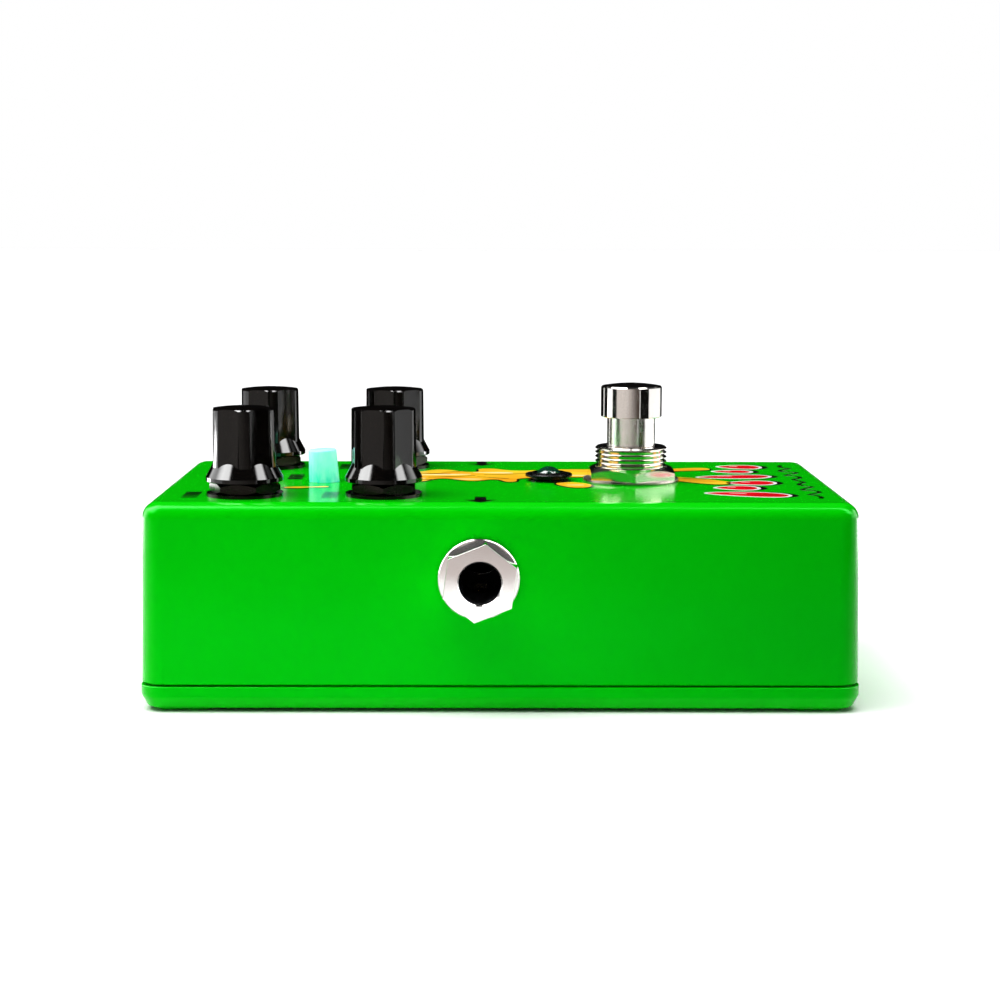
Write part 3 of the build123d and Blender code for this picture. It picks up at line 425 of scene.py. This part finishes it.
# Strokes for pill(): the x, y, length, width and lean of each. Folds and sheens lie on the streamer.
FOLDS = [
    (1.6, 14.2, 7.0, 0.55, 0.35), (5.0, 8.2, 8.0, 0.5, -0.3), (9.6, 13.0, 9.0, 0.6, 0.25),
    (12.2, 7.6, 5.0, 0.45, -0.5), (3.4, 1.2, 5.4, 0.5, 0.5), (8.4, -1.0, 7.5, 0.5, -0.2),
    (13.6, -20.0, 9.0, 0.4, 0.05), (3.0, -31.0, 8.0, 0.4, 0.4),
]
SHEENS = [
    (3.4, 16.6, 8.0, 1.3, 0.3), (7.6, 10.0, 10.0, 1.5, -0.1), (1.4, 5.6, 5.0, 1.1, 0.1),
    (10.6, 1.2, 7.0, 1.4, 0.1), (6.8, -12.0, 10.0, 1.2, 0.05), (12.4, -24.0, 9.0, 1.1, 0.1),
    (-6.4, -12.4, 3.0, 0.9, 0.1),
]
BARS = [
    (-18.0, -39.6, 12.6, 5.0, 0.22), (-9.9, -38.8, 6.6, 4.6, 0.05), (-3.2, -42.0, 7.4, 4.8, -0.04),
    (5.2, -40.0, 12.0, 4.4, -0.1), (12.8, -40.6, 6.2, 3.6, 0.06), (19.8, -42.6, 7.0, 5.0, 0.1),
]
PILL_POINTS = 12
PILL_TAPER = 0.35


def pill(x, y, length, width, lean):
    """A rounded bar whose long side lies along the pedal, thicker at its -Y end."""
    points = []
    for i in range(PILL_POINTS):
        a = i * math.tau / PILL_POINTS
        reach = length / 2 * math.sin(a)
        bulge = width / 2 * math.cos(a) * (1.0 - PILL_TAPER * math.sin(a))
        points.append((x + bulge + lean * reach, y + reach))
    return points


def streamer(black):
    yellow = ink("yellow_ink", (0.86, 0.36, 0.01), (1.0, 0.68, 0.03))
    pale = ink("pale_yellow_ink", (1.0, 0.78, 0.2), (1.0, 0.9, 0.5))
    brown = ink("brown_ink", (0.03, 0.012, 0.003), (0.12, 0.045, 0.006))
    print_layer("print_streamer_edge", [STREAMER, *DROPS], black, 1, grow=0.45, shift=(-0.45, 0.0))
    print_layer("print_streamer", [STREAMER, *DROPS], yellow, 2)
    print_layer("print_streamer_sheen", [pill(*stroke) for stroke in SHEENS], pale, 3)
    print_layer("print_streamer_folds", [pill(*stroke) for stroke in FOLDS], brown, 4)


def red_bars(black):
    red = ink("red_ink", (0.6, 0.002, 0.008), (0.8, 0.003, 0.014), size=3 * MM)
    white = ink("white_ink", (0.78, 0.78, 0.78), (0.9, 0.9, 0.9))
    loops = [pill(*stroke) for stroke in BARS]
    glints = [pill(x + 0.9, y + length * 0.12, length * 0.22, 0.3, lean) for x, y, length, _, lean in BARS]
    print_layer("print_bars_shadow", loops, black, 1, grow=0.75, shift=(0.1, -0.9))
    print_layer("print_bars_border", loops, white, 2, grow=0.6)
    print_layer("print_bars", loops, red, 3)
    print_layer("print_bars_glint", glints, white, 4)


def rectangle(x, y, width, depth):
    return [(x - width / 2, y - depth / 2), (x + width / 2, y - depth / 2),
            (x + width / 2, y + depth / 2), (x - width / 2, y + depth / 2)]


MARK_HEIGHT = 2.5           # the control marks' size along Y, in millimetres
KNOB_MARKS = 5
BUTTON_MARKS = 3


def control_marks(black):
    """Beyond each knob, a row of bars that grow broader to the right; by the button, three alike."""
    loops = []
    for name in NODES:
        if name.startswith("knob_"):
            at = centre(name) / MM
            for i in range(KNOB_MARKS):
                loops.append(rectangle(at.x + (i - 2) * 1.5, at.y + 8.5, 0.95 + 0.09 * i, MARK_HEIGHT))
    button = centre("button_cap") / MM
    for i in range(BUTTON_MARKS):
        loops.append(rectangle(button.x + 3.0 + 2.4 * i, button.y + 5.2, 2.0, MARK_HEIGHT))
    print_layer("print_control_marks", loops, black, 1, smooth=False)


JACK_ARROW_XS = (-25.0, 24.6)
ARROW = [(-3.4, -0.9), (0.2, -0.9), (0.2, -2.6), (3.4, 0.0), (0.2, 2.6), (0.2, 0.9), (-3.4, 0.9)]


def arrow(x, y, out):
    """An arrow along X that points towards +X for out = 1 and -X for out = -1."""
    return [(x + out * px, y + py) for px, py in ARROW]


def jack_marks(black):
    """Arrows beside the jacks, with the signal: in from the right, out to the left."""
    jack_y = centre("output_jack_nut").y / MM
    loops = [arrow(x, jack_y, -1) for x in JACK_ARROW_XS]
    print_layer("print_jack_marks", loops, black, 1, smooth=False)


# The flourish, in millimetres: a wave along X at the front of the panel.
FLOURISH_LINE_R = 0.4
FLOURISH_FLATTEN = 0.12     # the line's height against its width
FLOURISH_STEPS = 120
FLOURISH_START = (22.5, -50.4)
FLOURISH_LENGTH = 45.5
FLOURISH_SWING = 1.9
FLOURISH_WAVES = 7
FLOURISH_WOBBLES = 9


def flourish(black):
    """A thin trace of a fading tone across the front of the panel."""
    curve = bpy.data.curves.new("trace", "CURVE")
    curve.dimensions = "3D"
    curve.bevel_depth = FLOURISH_LINE_R * MM
    curve.bevel_resolution = 1
    spline = curve.splines.new("NURBS")
    spline.points.add(FLOURISH_STEPS)
    start_x, start_y = FLOURISH_START
    for i in range(FLOURISH_STEPS + 1):
        t = i / FLOURISH_STEPS
        swell = math.sin(math.pi * t) ** 0.6 * (0.65 + 0.35 * math.sin(9.0 * t))
        x = start_x - FLOURISH_LENGTH * t + 0.4 * math.sin(math.tau * FLOURISH_WOBBLES * t)
        y = start_y + FLOURISH_SWING * swell * math.sin(math.tau * FLOURISH_WAVES * t)
        spline.points[i].co = (x * MM, y * MM, 0, 1)
    spline.order_u = 4
    spline.use_endpoint_u = True
    mesh = curve_to_mesh("print_flourish", curve)
    mesh.transform(Matrix.Translation((0, 0, PANEL_Z)) @ Matrix.Scale(FLOURISH_FLATTEN, 4, (0, 0, 1)))
    add_print("print_flourish", mesh, black)


# ---------------------------------------------------------------- stage
def aim(obj, target):
    obj.rotation_mode = "QUATERNION"
    obj.rotation_quaternion = (Vector(target) - obj.location).to_track_quat("-Z", "Y")


def add_light(name, place, size, power):
    """A rectangular soft box that faces the pedal's middle."""
    data = bpy.data.lights.new(name, "AREA")
    data.shape = "RECTANGLE"
    data.size, data.size_y = size
    data.energy = power
    lamp = add_object(name, data)
    lamp.location = place
    aim(lamp, (0, 0, 20 * MM))
    lamp.visible_camera = False


def add_sun(name, direction, strength, angle):
    """A broad, even light that doesn't fall off over the floor."""
    data = bpy.data.lights.new(name, "SUN")
    data.energy = strength
    data.angle = math.radians(angle)
    lamp = add_object(name, data)
    lamp.location = direction
    aim(lamp, (0, 0, 0))
    lamp.visible_glossy = False


CARD_Z = 0.5 * MM            # the cards lie this far above the floor


def floor_card(name, corners, build_colour, seen_by_reflections=True):
    """A glowing card for reflections or for bounced light; corners are (x, y), in metres."""
    mesh = bpy.data.meshes.new(name)
    mesh.from_pydata([(x, y, CARD_Z) for x, y in corners], [], [tuple(range(len(corners)))])
    card = add_object(name, mesh)
    s = Surface(name + "_look", Roughness=1.0, Specular_IOR_Level=0.0)
    s.set("Base_Color", (0.0, 0.0, 0.0))
    colour, strength = build_colour(s)
    s.set("Emission_Color", colour)
    s.set("Emission_Strength", strength)
    mesh.materials.append(s.material)
    card.visible_camera = False
    card.visible_glossy = seen_by_reflections
    card.visible_diffuse = not seen_by_reflections
    card.visible_shadow = False


TABLE_EDGE = -0.1515        # where the white table ends and the dim room in front of it begins


def room_colour(s):
    """Pale beside the table, then a warm grey that darkens from the left to the right."""
    across = s.span(s.axis("Y"), -0.19, 0.2)
    deep = s.mix(across, (0.055, 0.04, 0.032), (0.68, 0.62, 0.58))
    patches = s.span(s.noise(0.07), 0.35, 0.65)
    cloudy = s.mix(patches, deep, s.mix(across, (0.1, 0.08, 0.068), (0.86, 0.8, 0.76)))
    near = s.span(s.axis("X"), TABLE_EDGE - 0.11, TABLE_EDGE - 0.03)
    return s.mix(near, cloudy, (0.68, 0.6, 0.58)), 1.0


def screen_colour(s):
    return s.mix(s.noise(0.05), (0.003, 0.003, 0.003), (0.007, 0.006, 0.005)), 1.0


def flag_colour(s):
    return s.mix(s.noise(0.05), (0.55, 0.55, 0.55), (0.6, 0.6, 0.6)), 1.0


def white_colour(s, strength):
    return s.mix(s.noise(0.1), (0.9, 0.9, 0.9), (1.0, 1.0, 1.0)), strength


def strip_colour(s):
    return white_colour(s, 3.0)


def bright_strip_colour(s):
    return white_colour(s, 28.0)


STRIP_X = (0.02, 0.1)       # the strips beside the pedal, along X
BRIGHT_STRIP_X = (0.1, 0.19)


def add_surroundings():
    """What polished faces see round the table: a dim room, a screen, bright strips and a dark far end."""
    room = [(TABLE_EDGE, -0.095), (TABLE_EDGE, 3.0), (-3.0, 3.0), (-3.0, -1.66)]
    floor_card("room", room, room_colour)
    screen = [(TABLE_EDGE, -0.1095), (-3.0, -1.754), (-1.0, -2.268), (-0.09, -0.2241)]
    floor_card("screen", screen, screen_colour)
    floor_card("far_end", [(0.2, -0.2), (0.2, 0.2), (3.0, 3.0), (3.0, -3.0)], screen_colour)
    for name, near, far in (("strip_left", 0.2, 0.5), ("strip_right", -0.17, -0.45)):
        for suffix, (low, high), colour in (("", STRIP_X, strip_colour),
                                            ("_bright", BRIGHT_STRIP_X, bright_strip_colour)):
            floor_card(name + suffix, [(low, near), (low, far), (high, far), (high, near)], colour)


def add_flag():
    """A greyer card that takes some bounced light from the half of the output side nearer the player."""
    corners = [(-0.04, -0.012), (-0.033, -0.08), (-0.05, -0.2), (-0.17, -0.2), (-0.13, -0.045)]
    floor_card("flag", corners, flag_colour, seen_by_reflections=False)


FLOOR_HALF = 6.0


def add_floor():
    mesh = bpy.data.meshes.new("floor")
    work = bmesh.new()
    bmesh.ops.create_grid(work, x_segments=2, y_segments=2, size=FLOOR_HALF)
    work.to_mesh(mesh)
    work.free()
    floor = add_object("floor", mesh)
    s = Surface("floor_paper", Specular_IOR_Level=0.2)
    s.set("Base_Color", s.mix(s.noise(0.02), (0.93, 0.93, 0.93), (0.95, 0.95, 0.95)))
    s.set("Roughness", s.span(s.noise(0.004), 0.3, 0.7, 0.7, 0.8))
    mesh.materials.append(s.material)


# The studio as polished faces see it, in pairs of (bearing in degrees, brightness): soft boxes with dark gaps
# between. A bearing is atan2(y, x), so 180 is the camera's side.
NEAR_HORIZON = [
    (-180, 0.12), (-152, 0.12), (-147, 0.03), (-112, 0.03), (-108, 5.0), (-60, 5.0), (-52, 0.004),
    (46, 0.004), (54, 5.0), (92, 5.0), (96, 0.03), (150, 0.03), (156, 0.12), (180, 0.12),
]
HIGH_UP = [
    (-180, 0.05), (-130, 0.05), (-122, 20.0), (-100, 20.0), (-92, 0.05), (64, 0.05), (72, 26.0), (126, 26.0),
    (134, 0.05), (180, 0.05),
]
BRIGHTEST = 30.0            # the top of the curves that hold these
AMBIENT = 0.15              # even light from all round, for matt surfaces
HIGH_FROM = (0.45, 0.6)     # the rise of a ray, over which HIGH_UP takes over from NEAR_HORIZON


def add_world():
    """Camera rays see plain white, matt surfaces an even grey, and reflections the studio."""
    world = bpy.data.worlds.new("studio")
    bpy.context.scene.world = world
    world.use_nodes = True
    tree = world.node_tree
    tree.nodes.clear()

    def make(kind, inputs=None, **settings):
        return add_node(tree, kind, inputs, **settings)

    def by_bearing(turn, points):
        curve = make("ShaderNodeFloatCurve", {"Value": turn})
        line = curve.mapping.curves[0]
        for degrees, brightness in points[1:-1]:
            line.points.new((degrees + 180) / 360, brightness / BRIGHTEST)
        line.points[0].location = (0, points[0][1] / BRIGHTEST)
        line.points[-1].location = (1, points[-1][1] / BRIGHTEST)
        for point in line.points:
            point.handle_type = "VECTOR"
        curve.mapping.update()
        return curve.outputs[0]

    ray = make("ShaderNodeTexCoord").outputs["Generated"]
    parts = make("ShaderNodeSeparateXYZ", {0: ray}).outputs
    bearing = make("ShaderNodeMath", {0: parts["Y"], 1: parts["X"]}, operation="ARCTAN2").outputs[0]
    full_turn = {"Value": bearing, "From Min": -math.pi, "From Max": math.pi}
    turn = make("ShaderNodeMapRange", full_turn).outputs[0]
    rise = {"Value": parts["Z"], "From Min": HIGH_FROM[0], "From Max": HIGH_FROM[1]}
    height = make("ShaderNodeMapRange", rise, interpolation_type="SMOOTHSTEP").outputs[0]
    both = {0: height, 2: by_bearing(turn, NEAR_HORIZON), 3: by_bearing(turn, HIGH_UP)}
    blend = make("ShaderNodeMix", both, data_type="FLOAT").outputs[0]
    strength = make("ShaderNodeMath", {0: blend, 1: BRIGHTEST}, operation="MULTIPLY").outputs[0]
    white = (1, 1, 1)
    reflected = make("ShaderNodeBackground", {"Strength": strength, "Color": white}).outputs[0]
    even = make("ShaderNodeBackground", {"Strength": AMBIENT, "Color": white}).outputs[0]
    backdrop = make("ShaderNodeBackground", {"Strength": 1.0, "Color": white}).outputs[0]
    path = make("ShaderNodeLightPath").outputs
    lit = make("ShaderNodeMixShader", {0: path["Is Glossy Ray"], 1: even, 2: reflected}).outputs[0]
    seen = make("ShaderNodeMixShader", {0: path["Is Camera Ray"], 1: lit, 2: backdrop}).outputs[0]
    make("ShaderNodeOutputWorld", {"Surface": seen})


CAMERA_PLACE = (-0.3460, 0.0017, 0.0753)
CAMERA_LENS = 74.4          # millimetres
CAMERA_SENSOR = 36.0
CAMERA_PITCH = 7.55         # degrees down
CAMERA_YAW = -0.28
CAMERA_ROLL = 0.14


def add_camera():
    data = bpy.data.cameras.new("camera")
    data.lens = CAMERA_LENS
    data.sensor_width = CAMERA_SENSOR
    camera = add_object("camera", data)
    pitch, yaw = math.radians(CAMERA_PITCH), math.radians(CAMERA_YAW)
    look = Vector((math.cos(yaw) * math.cos(pitch), math.sin(yaw) * math.cos(pitch), -math.sin(pitch)))
    camera.location = CAMERA_PLACE
    camera.rotation_mode = "QUATERNION"
    roll = Matrix.Rotation(math.radians(CAMERA_ROLL), 3, "Z").to_quaternion()
    camera.rotation_quaternion = look.to_track_quat("-Z", "Y") @ roll
    data.clip_start = 0.01
    data.clip_end = 20.0
    bpy.context.scene.camera = camera


SAMPLE_CLAMP = 2.5          # keeps rare bright samples from showing as specks


def set_look():
    scene = bpy.context.scene
    scene.view_settings.view_transform = "Standard"
    scene.view_settings.look = "None"
    scene.cycles.use_denoising = True
    scene.cycles.sample_clamp_direct = SAMPLE_CLAMP
    scene.cycles.sample_clamp_indirect = SAMPLE_CLAMP


dress_cad()
black_ink = ink("black_ink", (0.001, 0.001, 0.001), (0.004, 0.004, 0.004), shine=0.12)
streamer(black_ink)
red_bars(black_ink)
control_marks(black_ink)
jack_marks(black_ink)
flourish(black_ink)
add_floor()
add_world()
add_surroundings()
add_flag()
add_sun("overhead_sun", (-0.06, 0.06, 0.98), 3.4, 60)
add_light("overhead_box", (-0.06, 0.26, 0.5), (0.34, 0.34), 2.4)
add_camera()
set_look()
